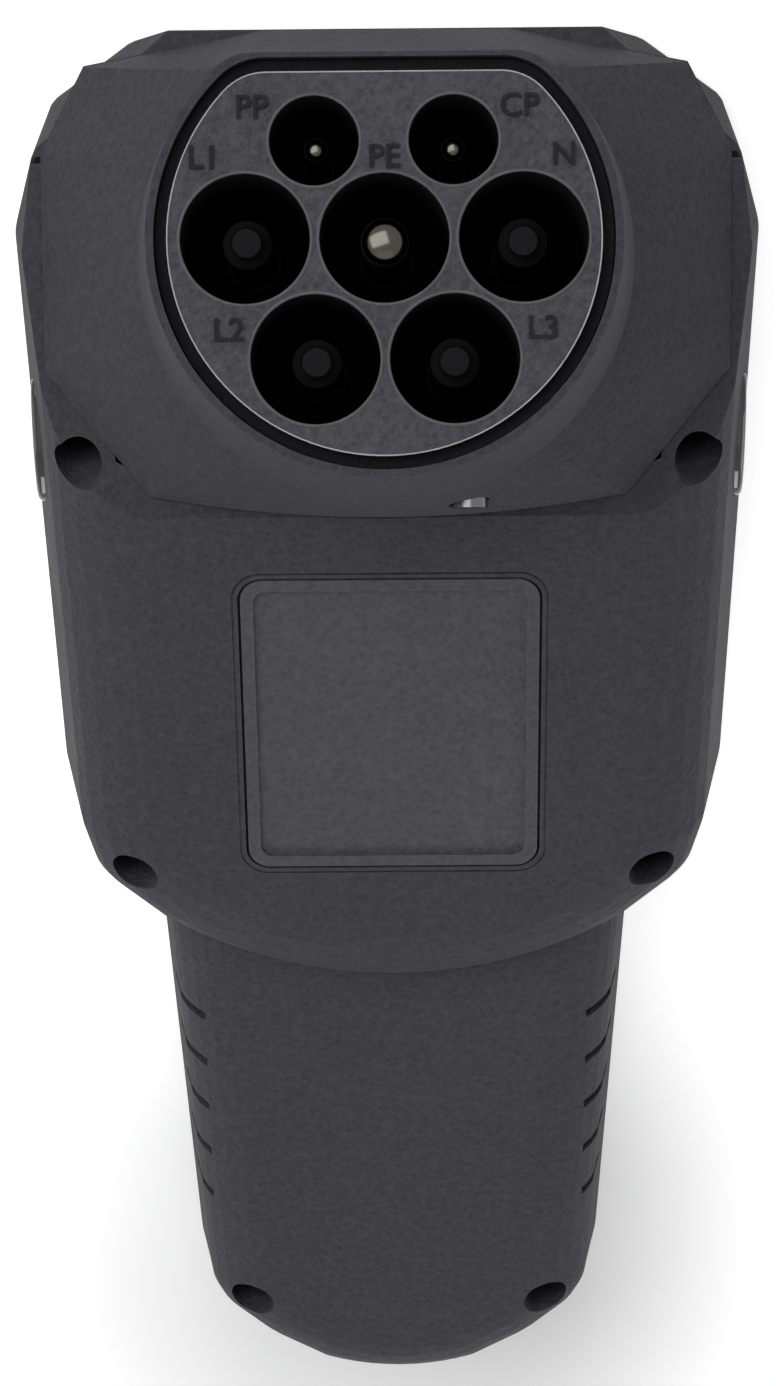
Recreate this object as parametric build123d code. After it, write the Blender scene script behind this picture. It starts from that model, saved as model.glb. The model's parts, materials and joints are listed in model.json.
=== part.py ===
from build123d import *
import math
import os

os.makedirs("parts", exist_ok=True)

# Handheld charging-station tester with a plug face at its head.
# It lies on its front (display) face: Z = 0 is the table, +Z the rear side,
# +Y the head with the plug, -Y the end of the handle. Millimetres.

# ---- plug ----
TILT = 34.0            # plug axis, measured from +Z towards +Y
FACE_Y = 101.0         # centre of the plug face
FACE_Z = 59.0
PITCH = 17.0           # distance between neighbouring power contacts
ROW = PITCH * math.sqrt(3) / 2
PILOT_S = 11.9
POWER_WELL_R = 8.0
PILOT_WELL_R = 5.55
POWER_PIN_R = 3.0
PILOT_PIN_R = 1.5
WELL_DEPTH = 30.0
TIP_DEPTH = 5.5
PILOT_TIP_DEPTH = 9.0
GUARD_R = 2.05
PIN_GAP = 0.04         # clearance of a pin's collar in the carrier
PIN_COLLAR = 0.5
CARRIER_T = 2.2
RIM_R = 29.2
RIM_FLAT = 22.7
COLLAR_R = 31.5
COLLAR_FLAT = 25.0
COLLAR_Z = 20.0
BASE_Z = 38.0
BORE_R = 28.2
BORE_FLAT = 22.1
INSERT_R = 28.05
INSERT_FLAT = 21.95
NOSE_R = 26.5
NOSE_FLAT = 20.25
NOSE_STEP = 1.8
CORNER_R = 8.0

# ---- body ----
PARTING = 19.5         # height of the joint between the two shells
BACK = 45.6            # rear surface of the body
GRIP_BACK = 37.6       # rear surface of the handle
WALL = 2.5
SEAL = 0.5

# ---- rear cover ----
COVER_W = 39.8
COVER_L = 46.8
COVER_Y = 19.7
COVER_R = 3.0
COVER_GAP = 0.35
COVER_T = 2.4

# ---- screws: X, Y and the top of each head ----
SCREWS = [(40.7, 58.7), (36.0, -6.5), (22.3, -92.5)]
SCREW_BORE_R = 3.25
SCREW_SEAT = [26.0, 26.0, 22.5]

PLUG = Plane(origin=(0, FACE_Y, FACE_Z), x_dir=(1, 0, 0),
             z_dir=(0, math.sin(math.radians(TILT)), math.cos(math.radians(TILT))))

POWER = {
    "pe": (0.0, 0.0),
    "l1": (-PITCH, 0.0),
    "n": (PITCH, 0.0),
    "l2": (-PITCH / 2, -ROW),
    "l3": (PITCH / 2, -ROW),
}
PILOT = {
    "pp": (-PITCH / 2, PILOT_S),
    "cp": (PITCH / 2, PILOT_S),
}


def at_plug(shape):
    """Local plug coordinates (X, S, -depth) to the object's own."""
    return shape.moved(PLUG.location)


def d_points(radius, flat, corner):
    """Tangent points of a D outline: circle, flat top, two rounded corners."""
    rise = flat - corner
    out = math.sqrt((radius - corner) ** 2 - rise ** 2)
    k = radius / (radius - corner)
    return (out, flat), (out * k, rise * k), (out, rise)


def d_face(radius, flat, corner, depth):
    (ax, ay), (bx, by), (cx, cy) = d_points(radius, flat, corner)
    ang = math.atan2(by - cy, bx - cx)
    mid = (ang + math.pi / 2) / 2
    mx = cx + corner * math.cos(mid)
    my = cy + corner * math.sin(mid)
    edges = [
        Line((-ax, ay), (ax, ay)),
        ThreePointArc((ax, ay), (mx, my), (bx, by)),
        ThreePointArc((bx, by), (0, -radius), (-bx, by)),
        ThreePointArc((-bx, by), (-mx, my), (-ax, ay)),
    ]
    face = make_face(Wire(edges))
    return face.moved(Location((0, 0, -depth)))


def d_prism(radius, flat, corner, near, far):
    face = d_face(radius, flat, corner, far)
    return extrude(face, amount=far - near, dir=(0, 0, 1))


def collar_wire(radius, flat, corner, depth):
    """D outline split into the ten edges that the neck's facets run from."""
    (ax, ay), (bx, by), (cx, cy) = d_points(radius, flat, corner)
    ang = math.atan2(by - cy, bx - cx)
    mid = (ang + math.pi / 2) / 2
    m = (cx + corner * math.cos(mid), cy + corner * math.sin(mid))

    def on(deg):
        return (radius * math.cos(math.radians(deg)), radius * math.sin(math.radians(deg)))

    top = math.degrees(math.atan2(by, bx))
    stops = [top, 21.0, -21.0, -52.0]
    right = [ThreePointArc((ax, ay), m, (bx, by))]
    for a, b in zip(stops[:-1], stops[1:]):
        right.append(ThreePointArc(on(a), on((a + b) / 2), on(b)))
    bottom = ThreePointArc(on(-52.0), (0, -radius), on(-128.0))
    left = [e.mirror(Plane.YZ) for e in right]
    edges = [Line((-ax, ay), (ax, ay))] + right + [bottom] + left[::-1]
    return Wire(edges).moved(Location((0, 0, -depth)))


def base_wire(inset, depth):
    """Faceted outline of the neck where it meets the body."""
    k = inset
    pts = [(16.1, 31.4 - k), (39.4 - 0.8 * k, 26.8 - k), (45.2 - k, 15.4 - 0.3 * k),
           (44.8 - k, -13.1 + 0.4 * k), (31.2 - 0.5 * k, -29.5 + k)]
    right = [Line(a, b) for a, b in zip(pts[:-1], pts[1:])]
    bottom = ThreePointArc(pts[-1], (0, -32.4 + k), (-pts[-1][0], pts[-1][1]))
    left = [e.mirror(Plane.YZ) for e in right]
    edges = [Line((-16.1, 31.4 - k), (16.1, 31.4 - k))] + right + [bottom] + left[::-1]
    return Wire(edges).moved(Location((0, 0, -depth)))


def neck_form(inset, near, far):
    k = inset
    lower = Solid.make_loft([base_wire(k, far), collar_wire(COLLAR_R - k, COLLAR_FLAT - k, CORNER_R - 2, COLLAR_Z)],
                            ruled=True)
    upper = Solid.make_loft([collar_wire(COLLAR_R - k, COLLAR_FLAT - k, CORNER_R - 2, COLLAR_Z),
                             collar_wire(RIM_R - k, RIM_FLAT - k, CORNER_R - 2, near)], ruled=True)
    return lower + upper


def connector_housing():
    outer = neck_form(0.0, 0.0, BASE_Z - SEAL)
    bore = d_prism(BORE_R, BORE_FLAT, CORNER_R, -1.0, COLLAR_Z + 12.2)
    room = Solid.make_loft([base_wire(WALL, BASE_Z + 1.0),
                            collar_wire(BORE_R - 1.5, BORE_FLAT - 1.5, CORNER_R - 2, COLLAR_Z + 7.0)], ruled=True)
    ledge = d_prism(BORE_R - 1.5, BORE_FLAT - 1.5, CORNER_R - 1, -1.0, BASE_Z)
    body = outer - bore - room - ledge
    return body


def contact_insert():
    """Face block with seven wells right through it."""
    body = d_prism(INSERT_R, INSERT_FLAT, CORNER_R, NOSE_STEP, WELL_DEPTH)
    body += d_prism(NOSE_R, NOSE_FLAT, CORNER_R - 1, 0.0, NOSE_STEP + 0.5)
    for x, s in POWER.values():
        body -= Cylinder(POWER_WELL_R, 3 * WELL_DEPTH).moved(Location((x, s, 0)))
    for x, s in PILOT.values():
        body -= Cylinder(PILOT_WELL_R, 3 * WELL_DEPTH).moved(Location((x, s, 0)))
    return body


def contact_carrier():
    """Plate behind the wells that holds the contacts."""
    plate = d_prism(INSERT_R, INSERT_FLAT, CORNER_R, WELL_DEPTH, WELL_DEPTH + CARRIER_T)
    for x, s in POWER.values():
        plate -= Cylinder(POWER_PIN_R + PIN_COLLAR + PIN_GAP, 3 * WELL_DEPTH).moved(Location((x, s, 0)))
    for x, s in PILOT.values():
        plate -= Cylinder(PILOT_PIN_R + PIN_COLLAR + PIN_GAP, 3 * WELL_DEPTH).moved(Location((x, s, 0)))
    return plate


def contact(radius, tip, guard):
    """Pin with its shoulder behind the insert's floor and a crimp barrel."""
    back = WELL_DEPTH + CARRIER_T
    top = tip + (0.8 if guard else 0.0)
    pin = Cylinder(radius, WELL_DEPTH - top, align=(Align.CENTER, Align.CENTER, Align.MIN))
    pin = pin.moved(Location((0, 0, -WELL_DEPTH)))
    tip_edges = pin.edges().sort_by(Axis.Z)[-1:]
    pin = chamfer(tip_edges, radius * 0.3)
    collar = Cylinder(radius + PIN_COLLAR, CARRIER_T, align=(Align.CENTER, Align.CENTER, Align.MAX))
    pin += collar.moved(Location((0, 0, -WELL_DEPTH)))
    shoulder = Cylinder(radius + 1.0, 1.6, align=(Align.CENTER, Align.CENTER, Align.MAX))
    barrel = Cylinder(radius + 0.3, 7.0, align=(Align.CENTER, Align.CENTER, Align.MAX))
    cup = Cylinder(radius - 0.5, 5.0, align=(Align.CENTER, Align.CENTER, Align.MAX))
    pin += shoulder.moved(Location((0, 0, -back)))
    pin += barrel.moved(Location((0, 0, -back - 1.6)))
    pin -= cup.moved(Location((0, 0, -back - 3.6)))
    if guard:
        seat = Cylinder(1.2, 2.2, align=(Align.CENTER, Align.CENTER, Align.MAX))
        pin -= seat.moved(Location((0, 0, -top)))
    return pin


def touch_guard():
    """Insulating cap on the end of a live pin."""
    head = Cylinder(GUARD_R, 1.4, align=(Align.CENTER, Align.CENTER, Align.MAX))
    head = chamfer(head.edges().sort_by(Axis.Z)[-1:], 0.3)
    head = head.moved(Location((0, 0, -TIP_DEPTH + 0.6)))
    stem = Cylinder(1.2, 2.2, align=(Align.CENTER, Align.CENTER, Align.MAX))
    return head + stem.moved(Location((0, 0, -TIP_DEPTH - 0.8)))


def shifted(points, bow, d):
    """Half outline moved inward by d, corner by corner."""
    chain = [(0.0, points[0][1])] + list(points) + [bow]
    lines = []
    for (ax, ay), (bx, by) in zip(chain[:-1], chain[1:]):
        run = math.hypot(bx - ax, by - ay)
        ux, uy = (bx - ax) / run, (by - ay) / run
        lines.append((ax + uy * d, ay - ux * d, ux, uy))
    out = []
    for (ax, ay, ux, uy), (bx, by, vx, vy) in zip(lines[:-1], lines[1:]):
        t = ((bx - ax) * vy - (by - ay) * vx) / (ux * vy - uy * vx)
        out.append((ax + ux * t, ay + uy * t))
    return out, (0.0, bow[1] + d)


def plan_wire(points, bow, radii, d, height):
    """Symmetric plan outline moved inward by d; it closes with a shallow arc."""
    pts, end = shifted(points, bow, d)
    right = [Line(a, b) for a, b in zip(pts[:-1], pts[1:])]
    bottom = ThreePointArc(pts[-1], end, (-pts[-1][0], pts[-1][1]))
    left = [e.mirror(Plane.YZ) for e in right]
    top = Line((-pts[0][0], pts[0][1]), pts[0])
    face = make_face(Wire([top] + right + [bottom] + left[::-1]))
    for (x, y), r in zip(pts, radii):
        if r > 0:
            corners = [v for v in face.vertices() if abs(abs(v.X) - x) < 0.01 and abs(v.Y - y) < 0.01]
            face = fillet(corners, max(r - d, 1.2))
    return face.face().outer_wire().moved(Location((0, 0, height)))


def stack(points, bow, radii, levels):
    """Solid through a list of (height, inward shift) levels."""
    form = None
    for (za, da), (zb, db) in zip(levels[:-1], levels[1:]):
        piece = Solid.make_loft([plan_wire(points, bow, radii, da, za),
                                 plan_wire(points, bow, radii, db, zb)], ruled=True)
        form = piece if form is None else form + piece
    return form


def rounded_levels(low, high, draft, wide, tall, steps, inset):
    """Drafted side from low, then a soft edge that ends at the height high."""
    knee = high - tall
    run = draft * (knee - low)
    out = [(low, inset)]
    for i in range(steps + 1):
        a = math.pi / 2 * i / steps
        out.append((knee + tall * math.sin(a) ** EDGE_POWER, inset + run + wide * (1 - math.cos(a) ** EDGE_POWER)))
    return out


BODY_PLAN = [(22.0, 112.0), (46.3, 93.0), (49.2, 82.0), (46.9, -3.0), (44.4, -12.5), (34.8, -21.5)]
BODY_BOW = (0.0, -32.5)
BODY_RADII = [0, 3.0, 8.0, 12.0, 12.0, 6.0]
GRIP_PLAN = [(35.2, -5.0), (30.4, -96.5), (21.7, -105.0), (13.0, -110.5)]
GRIP_BOW = (0.0, -112.8)
GRIP_RADII = [0, 12.0, 14.0, 10.0]
EDGE_POWER = 1.15
EDGE_WIDE = 13.5
EDGE_TALL = 12.0
GRIP_WIDE = 9.5
GRIP_TALL = 10.0
SIDE_DRAFT = 0.2
FRONT_DRAFT = 0.09


def slab(low, high):
    return Box(400, 400, high - low, align=(Align.CENTER, Align.CENTER, Align.MIN)).moved(Location((0, 0, low)))


def below_neck(depth):
    """Half-space on the body's side of a plane across the plug axis."""
    box = Box(400, 400, 300, align=(Align.CENTER, Align.CENTER, Align.MAX))
    return at_plug(box.moved(Location((0, 0, -depth))))


def under_brow(inset):
    """Half-space below the plane that the neck's flat top runs back along."""
    box = Box(400, 400, 400, align=(Align.CENTER, Align.MAX, Align.CENTER))
    return at_plug(box.moved(Location((0, 31.4 + HEAD_STEP - inset, 0))))


def head_block(inset, low, high, start):
    """End of the body behind the neck, drawn back along the plug axis."""
    wire = base_wire(inset - HEAD_STEP, start)
    form = extrude(make_face(wire), amount=60.0, dir=(0, 0, -1))
    return at_plug(form) & slab(low, high)


HEAD_STEP = 0.2


def upper_form(inset, low, steps):
    body = stack(BODY_PLAN, BODY_BOW, BODY_RADII,
                 rounded_levels(low, BACK - inset, SIDE_DRAFT, EDGE_WIDE, EDGE_TALL, steps, inset)) & under_brow(inset)
    grip = stack(GRIP_PLAN, GRIP_BOW, GRIP_RADII,
                 rounded_levels(low, GRIP_BACK - inset, SIDE_DRAFT, GRIP_WIDE, GRIP_TALL, steps, inset))
    return body + grip


def lower_form(inset, high):
    base = inset
    edge = 3.0
    levels = [(high, inset), (base + edge, inset + FRONT_DRAFT * (high - base - edge)),
              (base + edge * 0.3, inset + 1.9), (base, inset + 4.0)]
    body = stack(BODY_PLAN, BODY_BOW, BODY_RADII, levels) & under_brow(inset)
    grip = stack(GRIP_PLAN, GRIP_BOW, GRIP_RADII, levels)
    return body + grip


def post(x, y, r, low, high):
    return Cylinder(r, high - low, align=(Align.CENTER, Align.CENTER, Align.MIN)).moved(Location((x, y, low)))


def block(x, y, w, l, low, high, r=0.0):
    shape = Box(w, l, high - low, align=(Align.CENTER, Align.CENTER, Align.MIN)).moved(Location((x, y, low)))
    if r > 0:
        shape = fillet(shape.edges().filter_by(Axis.Z), r)
    return shape


def screw_places():
    return [(side * x, y, seat) for (x, y), seat in zip(SCREWS, SCREW_SEAT) for side in (1, -1)]


def side_lens(grow, low, high):
    """Lens-shaped insert in the side wall; low and high are distances from the middle."""
    face = make_face(Ellipse(LENS_L / 2 + grow, LENS_H / 2 + grow))
    form = extrude(face, amount=high - low)
    return Plane(origin=(low, LENS_Y, LENS_Z), x_dir=(0, 1, 0), z_dir=(1, 0, 0)).location * form


LENS_L = 19.0
LENS_H = 6.4
LENS_Y = 53.0
LENS_Z = 25.0
LENS_OUT = 47.9
LENS_IN = 45.0


def rear_shell():
    outer = (upper_form(0.0, PARTING, 6) + head_block(0.0, PARTING, 60.0, BASE_Z)) & below_neck(BASE_Z)
    room = upper_form(WALL, PARTING - 1.0, 3) + head_block(WALL, PARTING - 1.0, 60.0, BASE_Z - 1.0)
    solid = outer - room
    frame = block(0, COVER_Y, COVER_W + 3.0, COVER_L + 3.0, BACK - 5.0, BACK - 1.0)
    solid += frame & outer
    for x, y, seat in screw_places():
        solid += post(x, y, 5.0, seat - 2.6, BACK) & outer
    solid -= block(0, COVER_Y, COVER_W + 2 * COVER_GAP, COVER_L + 2 * COVER_GAP, BACK - COVER_T, BACK + 5,
                   COVER_R + COVER_GAP)
    solid -= block(0, COVER_Y, COVER_W - 3.6, COVER_L - 2.6, BACK - 8.0, BACK + 5, 1.2)
    ring = block(0, COVER_Y, COVER_W + 2.4, COVER_L + 2.4, BACK - 0.25, BACK + 1, COVER_R + 1.0)
    ring -= block(0, COVER_Y, COVER_W + 1.8, COVER_L + 1.8, BACK - 0.5, BACK + 2, COVER_R + 0.7)
    solid -= ring
    for x, y, seat in screw_places():
        solid -= post(x, y, SCREW_BORE_R, seat, BACK + 5)
        solid -= post(x, y, 1.7, seat - 5, seat + 1)
    skin = stack(GRIP_PLAN, GRIP_BOW, GRIP_RADII,
                 rounded_levels(PARTING, GRIP_BACK - GROOVE_DEEP, SIDE_DRAFT, GRIP_WIDE, GRIP_TALL, 6, GROOVE_DEEP))
    for i in range(GROOVES):
        y = GROOVE_Y - i * GROOVE_PITCH
        for side in (1, -1):
            bar = block(side * GROOVE_X, y, 2 * (GRIP_PLAN[0][0] - GROOVE_X), GROOVE_W, GROOVE_LOW, GRIP_BACK + 1)
            solid -= bar - skin
    for side in (1, -1):
        lens = side_lens(0.1, LENS_IN, LENS_OUT + 4)
        solid -= lens if side == 1 else lens.mirror(Plane.YZ)
    return solid


def front_shell():
    top = PARTING - SEAL
    outer = (lower_form(0.0, top) + head_block(0.0, 0.0, top, BASE_Z)) & below_neck(BASE_Z)
    room = lower_form(WALL, top + 1.0) + head_block(WALL, WALL, top + 1.0, BASE_Z - 1.0)
    solid = outer - room
    for x, y, seat in screw_places():
        solid += post(x, y, 3.9, WALL - 0.5, seat - 2.6)
    for x, y in BOARD_POSTS:
        solid += post(x, y, 3.2, WALL - 0.5, BOARD_Z)
    for x, y, seat in screw_places():
        solid -= post(x, y, 1.5, 6.0, seat)
    solid -= block(0, WINDOW_Y, WINDOW_W - 4.0, WINDOW_L - 4.0, -1, WALL + 1, 1.5)
    solid -= block(0, WINDOW_Y, WINDOW_W + 0.2, WINDOW_L + 0.2, 0.8, WALL + 1, 2.0)
    for x in KEY_X:
        solid -= post(x, KEY_Y, KEY_R + 0.3, -1, WALL + 1)
    return solid


GROOVES = 5
GROOVE_Y = -38.4
GROOVE_PITCH = 8.9
GROOVE_W = 1.5
GROOVE_DEEP = 0.9
GROOVE_X = 27.4
GROOVE_LOW = 24.5
BOARD_Z = 15.0
BOARD_T = 1.6
BOARD_POSTS = [(27.0, 66.0), (-27.0, 66.0), (27.0, -7.0), (-27.0, -7.0)]
WINDOW_Y = 42.0
WINDOW_W = 52.0
WINDOW_L = 32.0
KEY_X = [-24.0, -8.0, 8.0, 24.0]
KEY_Y = 6.0
KEY_R = 5.0
KEY_REST = 0.6


def shell_seal():
    low = PARTING - SEAL
    form = stack(BODY_PLAN, BODY_BOW, BODY_RADII, [(low, 0.5), (PARTING, 0.5)]) & under_brow(0.5)
    form += stack(GRIP_PLAN, GRIP_BOW, GRIP_RADII, [(low, 0.5), (PARTING, 0.5)])
    form += head_block(0.5, low, PARTING, BASE_Z)
    inner = stack(BODY_PLAN, BODY_BOW, BODY_RADII, [(low - 1, 1.9), (PARTING + 1, 1.9)])
    inner += stack(GRIP_PLAN, GRIP_BOW, GRIP_RADII, [(low - 1, 1.9), (PARTING + 1, 1.9)])
    inner += head_block(1.9, low - 1, PARTING + 1, BASE_Z - 1)
    ring = (form & below_neck(BASE_Z)) - inner
    for x, y, seat in screw_places():
        ring -= post(x, y, 5.05, low - 1, PARTING + 1)
    return ring


def neck_seal():
    ring = extrude(make_face(base_wire(0.4, BASE_Z)), amount=SEAL, dir=(0, 0, 1))
    ring -= extrude(make_face(base_wire(2.2, BASE_Z + 1)), amount=SEAL + 2, dir=(0, 0, 1))
    return at_plug(ring)


def cover():
    plate = block(0, COVER_Y, COVER_W, COVER_L, BACK - COVER_T, BACK, COVER_R)
    plate -= block(0, COVER_Y, COVER_W - 3.4, COVER_L - 3.4, BACK - 0.6, BACK + 1, COVER_R - 1.2)
    plate += block(0, COVER_Y, COVER_W - 4.2, COVER_L - 3.2, BACK - COVER_T - 1.6, BACK - COVER_T + 0.2, 1.5)
    plate -= block(0, COVER_Y, COVER_W - 7.2, COVER_L - 6.2, BACK - COVER_T - 3.0, BACK - COVER_T + 0.1, 1.0)
    return plate


def battery_tray():
    w = CELL_R * 6 + 3.2
    tray = block(0, COVER_Y, w, CELL_L + 3.6, TRAY_Z, BACK - 5.05, 1.0)
    tray -= block(0, COVER_Y, w - 2.4, CELL_L + 1.0, TRAY_Z + 1.2, BACK, 0.5)
    return tray


CELL_R = 5.25
CELL_L = 42.4
TRAY_Z = 29.0


def cell():
    can = Cylinder(CELL_R, CELL_L - 1.0, align=(Align.CENTER, Align.CENTER, Align.MIN))
    can = fillet(can.edges(), 0.5)
    can += Cylinder(1.9, 1.0, align=(Align.CENTER, Align.CENTER, Align.MIN)).moved(Location((0, 0, CELL_L - 1.0)))
    return can


def housing_screw(seat):
    head = post(0, 0, 2.9, seat, seat + 2.4)
    head = fillet(head.edges().sort_by(Axis.Z)[-1:], 0.7)
    shank = post(0, 0, 1.46, 8.0, seat + 0.5)
    drive = extrude(RegularPolygon(1.3, 6), amount=3.0).moved(Location((0, 0, seat + 1.0)))
    return head + shank - drive


def key():
    cap = post(0, 0, KEY_R, KEY_REST, 5.0)
    cap = fillet(cap.edges().sort_by(Axis.Z)[:1], 0.5)
    return cap + post(0, 0, KEY_R + 1.2, WALL + 0.1, WALL + 0.9)


def main():
    front = front_shell()
    housing = connector_housing()
    foot = front.bounding_box().min.Y
    head = at_plug(housing).bounding_box().max.Y
    centred = Location((0, -(foot + head) / 2, 0))

    def save(shape, name):
        export_step(shape.moved(centred), "parts/" + name + ".step")

    save(front, "front_shell")
    save(rear_shell(), "rear_shell")
    save(shell_seal(), "shell_seal")
    save(neck_seal(), "neck_seal")
    insert = contact_insert()
    recess = Cylinder(2.6, 6.0, rotation=(90, 0, 0)).moved(Location((BOLT_X, -BOLT_S - 3.0, -BOLT_DEPTH)))
    hole = Cylinder(1.05, 14.0, rotation=(90, 0, 0)).moved(Location((BOLT_X, -BOLT_S + 5.0, -BOLT_DEPTH)))
    housing -= recess
    housing -= hole
    insert -= hole
    save(at_plug(housing), "connector_housing")
    save(at_plug(insert), "contact_insert")
    save(at_plug(contact_carrier()), "contact_carrier")
    bolt = Cylinder(2.4, 1.3, rotation=(90, 0, 0)).moved(Location((BOLT_X, -BOLT_S - 0.65, -BOLT_DEPTH)))
    bolt += Cylinder(1.0, 6.0, rotation=(90, 0, 0)).moved(Location((BOLT_X, -BOLT_S + 3.0, -BOLT_DEPTH)))
    drive = Cylinder(1.0, 1.6, rotation=(90, 0, 0)).moved(Location((BOLT_X, -BOLT_S - 1.3, -BOLT_DEPTH)))
    save(at_plug(bolt - drive), "insert_bolt")
    for name, (x, s) in POWER.items():
        guard = name != "pe"
        tip = TIP_DEPTH if guard else TIP_DEPTH - 1.0
        save(at_plug(contact(POWER_PIN_R, tip, guard).moved(Location((x, s, 0)))), "contact_" + name)
        if guard:
            save(at_plug(touch_guard().moved(Location((x, s, 0)))), "guard_" + name)
    for name, (x, s) in PILOT.items():
        save(at_plug(contact(PILOT_PIN_R, PILOT_TIP_DEPTH, False).moved(Location((x, s, 0)))), "contact_" + name)
    save(cover(), "battery_cover")
    save(battery_tray(), "battery_tray")
    lay = Location((0, 0, 0), (90, 0, 0))
    for i, name in enumerate(("a", "b", "c")):
        one = cell().moved(lay)
        x = (i - 1) * (2 * CELL_R + 0.2)
        turn = 1 if i % 2 else -1
        if turn < 0:
            one = one.mirror(Plane.XZ)
        save(one.moved(Location((x, COVER_Y + turn * CELL_L / 2, TRAY_Z + 1.3 + CELL_R))), "cell_" + name)
    for i, (x, y, seat) in enumerate(screw_places()):
        save(housing_screw(seat).moved(Location((x, y, 0))), "housing_screw_%d" % (i + 1))
    for name, side in (("right", 1), ("left", -1)):
        lens = side_lens(0.0, LENS_IN, LENS_OUT)
        lens = fillet(lens.faces().sort_by(Axis.X)[-1].edges(), 0.8)
        save(lens if side == 1 else lens.mirror(Plane.YZ), "side_lens_" + name)
    board = block(0, 29.5, 62, 83, BOARD_Z, BOARD_Z + BOARD_T, 3.0)
    save(board, "main_board")
    top = BOARD_Z + BOARD_T
    save(block(0, 64, 46, 9, top, top + 10, 0.6), "terminal_block")
    for i, name in enumerate(("a", "b", "c")):
        save(block((i - 1) * 19.0, 42, 15, 20, top, top + 11, 0.6), "relay_" + name)
    save(block(0, 12, 26, 24, top, top + 10, 1.0), "transformer")
    save(post(22, 2, 6.0, top, top + 7), "buzzer")
    save(block(0, WINDOW_Y, WINDOW_W, WINDOW_L, 0.8, WALL, 2.0), "display_window")
    save(block(0, WINDOW_Y, WINDOW_W + 4, WINDOW_L + 4, WALL, WALL + 5.5, 0.8), "display_module")
    save(block(0, KEY_Y, 68, 15, 6.2, 7.6, 2.0), "keypad_mat")
    save(block(0, KEY_Y, 70, 17, 7.6, 9.2, 2.0), "key_board")
    for i, x in enumerate(KEY_X):
        save(key().moved(Location((x, KEY_Y, 0))), "key_%d" % (i + 1))


BOLT_X = 10.4
BOLT_S = 30.4
BOLT_DEPTH = 28.0

if __name__ == "__main__":
    main()
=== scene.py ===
"""Looks of a handheld charging-station tester with a plug face at its head."""
import json
import math

import bmesh
import bpy
from mathutils import Matrix, Vector
from mathutils.bvhtree import BVHTree


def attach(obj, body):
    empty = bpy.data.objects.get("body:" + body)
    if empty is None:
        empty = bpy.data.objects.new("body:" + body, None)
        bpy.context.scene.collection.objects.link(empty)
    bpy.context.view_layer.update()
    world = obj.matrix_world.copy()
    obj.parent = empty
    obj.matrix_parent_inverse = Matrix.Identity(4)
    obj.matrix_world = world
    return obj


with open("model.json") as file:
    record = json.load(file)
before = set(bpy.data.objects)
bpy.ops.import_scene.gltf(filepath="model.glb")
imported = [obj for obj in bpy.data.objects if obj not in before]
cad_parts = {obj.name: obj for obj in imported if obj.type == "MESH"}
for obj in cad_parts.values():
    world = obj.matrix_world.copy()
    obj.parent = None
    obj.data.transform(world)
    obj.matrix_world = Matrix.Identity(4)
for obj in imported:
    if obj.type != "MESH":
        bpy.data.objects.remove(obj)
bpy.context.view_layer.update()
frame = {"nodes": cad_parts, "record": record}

bl_info = {
    "name": "Charging Station Tester Dresser",
    "version": (1, 0, 0),
    "blender": (4, 5, 0),
    "location": "3D View > Sidebar > Tester",
    "description": "Finishes a handheld charging station tester and sets its stage",
    "category": "Object",
}

TILT = math.radians(34.0)
AXIS = Vector((0.0, math.sin(TILT), math.cos(TILT)))
RISE = Vector((0.0, math.cos(TILT), -math.sin(TILT)))
SIDE = Vector((1.0, 0.0, 0.0))

MOUNT_DEPTH = 0.019            # from the plug face down to the middle contact's mount
FACE_EDGE_MIN = 0.0197         # no point of the face's outer edge lies nearer the middle
FACE_SLACK = 0.00003
EDGE_LINE_R = 0.00009
RING_STEPS = 96
DOME_STEPS = 32
DOME_ROWS = 8
DOME_SINK = 0.0002
DOME_RISE = 0.45               # height of a dome as a share of its radius
STRIP_STEPS = 40
STRIP_DEPTH = 0.0016
STRIP_LAP = 0.00002
ABOVE_ALL = 0.09
FLOOR_HALF = 1.6
FLOOR_DROP = -0.0006           # clear of the front face, which lies at zero
LAMP_AIM = (0.0, 0.02, 0.03)
SKY_LEVEL = 0.20
# name, place, size, power
LAMPS = (
    ("head_lamp", (-0.3, 0.75, 0.72), (0.9, 0.6), 6.6),
    ("foot_lamp", (0.0, -0.95, 0.55), (0.5, 0.5), 3.5),
    ("top_lamp", (0.0, -0.1, 1.1), (0.9, 0.9), 0.9),
    ("left_lamp", (-0.85, -0.2, 0.35), (0.5, 0.5), 1.2),
    ("right_lamp", (0.85, -0.45, 0.3), (0.5, 0.5), 1.8),
)


def plug_face():
    """Centre of the plug face: the middle contact's mount, brought forward to the face."""
    mount = next(m for m in frame["record"]["mounts"] if m["name"] == "pin_pe")
    return Vector(mount["pos_m"]) + AXIS * MOUNT_DEPTH


def node_object(name):
    """The object of a node of the part."""
    obj = frame["nodes"][name]
    return bpy.data.objects[obj] if isinstance(obj, str) else obj


FACE = plug_face()


def on_plug(x, s, out=0.0):
    """Point in plug coordinates: across, up the face, out of the face (metres)."""
    return FACE + SIDE * x + RISE * s + AXIS * out


def plug_matrix(x, s, out=0.0):
    turn = Matrix((SIDE, RISE, AXIS)).transposed().to_4x4()
    return Matrix.Translation(on_plug(x, s, out)) @ turn


# ---------------------------------------------------------------- materials

def socket(group, name, where, kind="NodeSocketFloat", value=None):
    item = group.interface.new_socket(name=name, in_out=where, socket_type=kind)
    if value is not None:
        item.default_value = value
    return item


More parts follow.
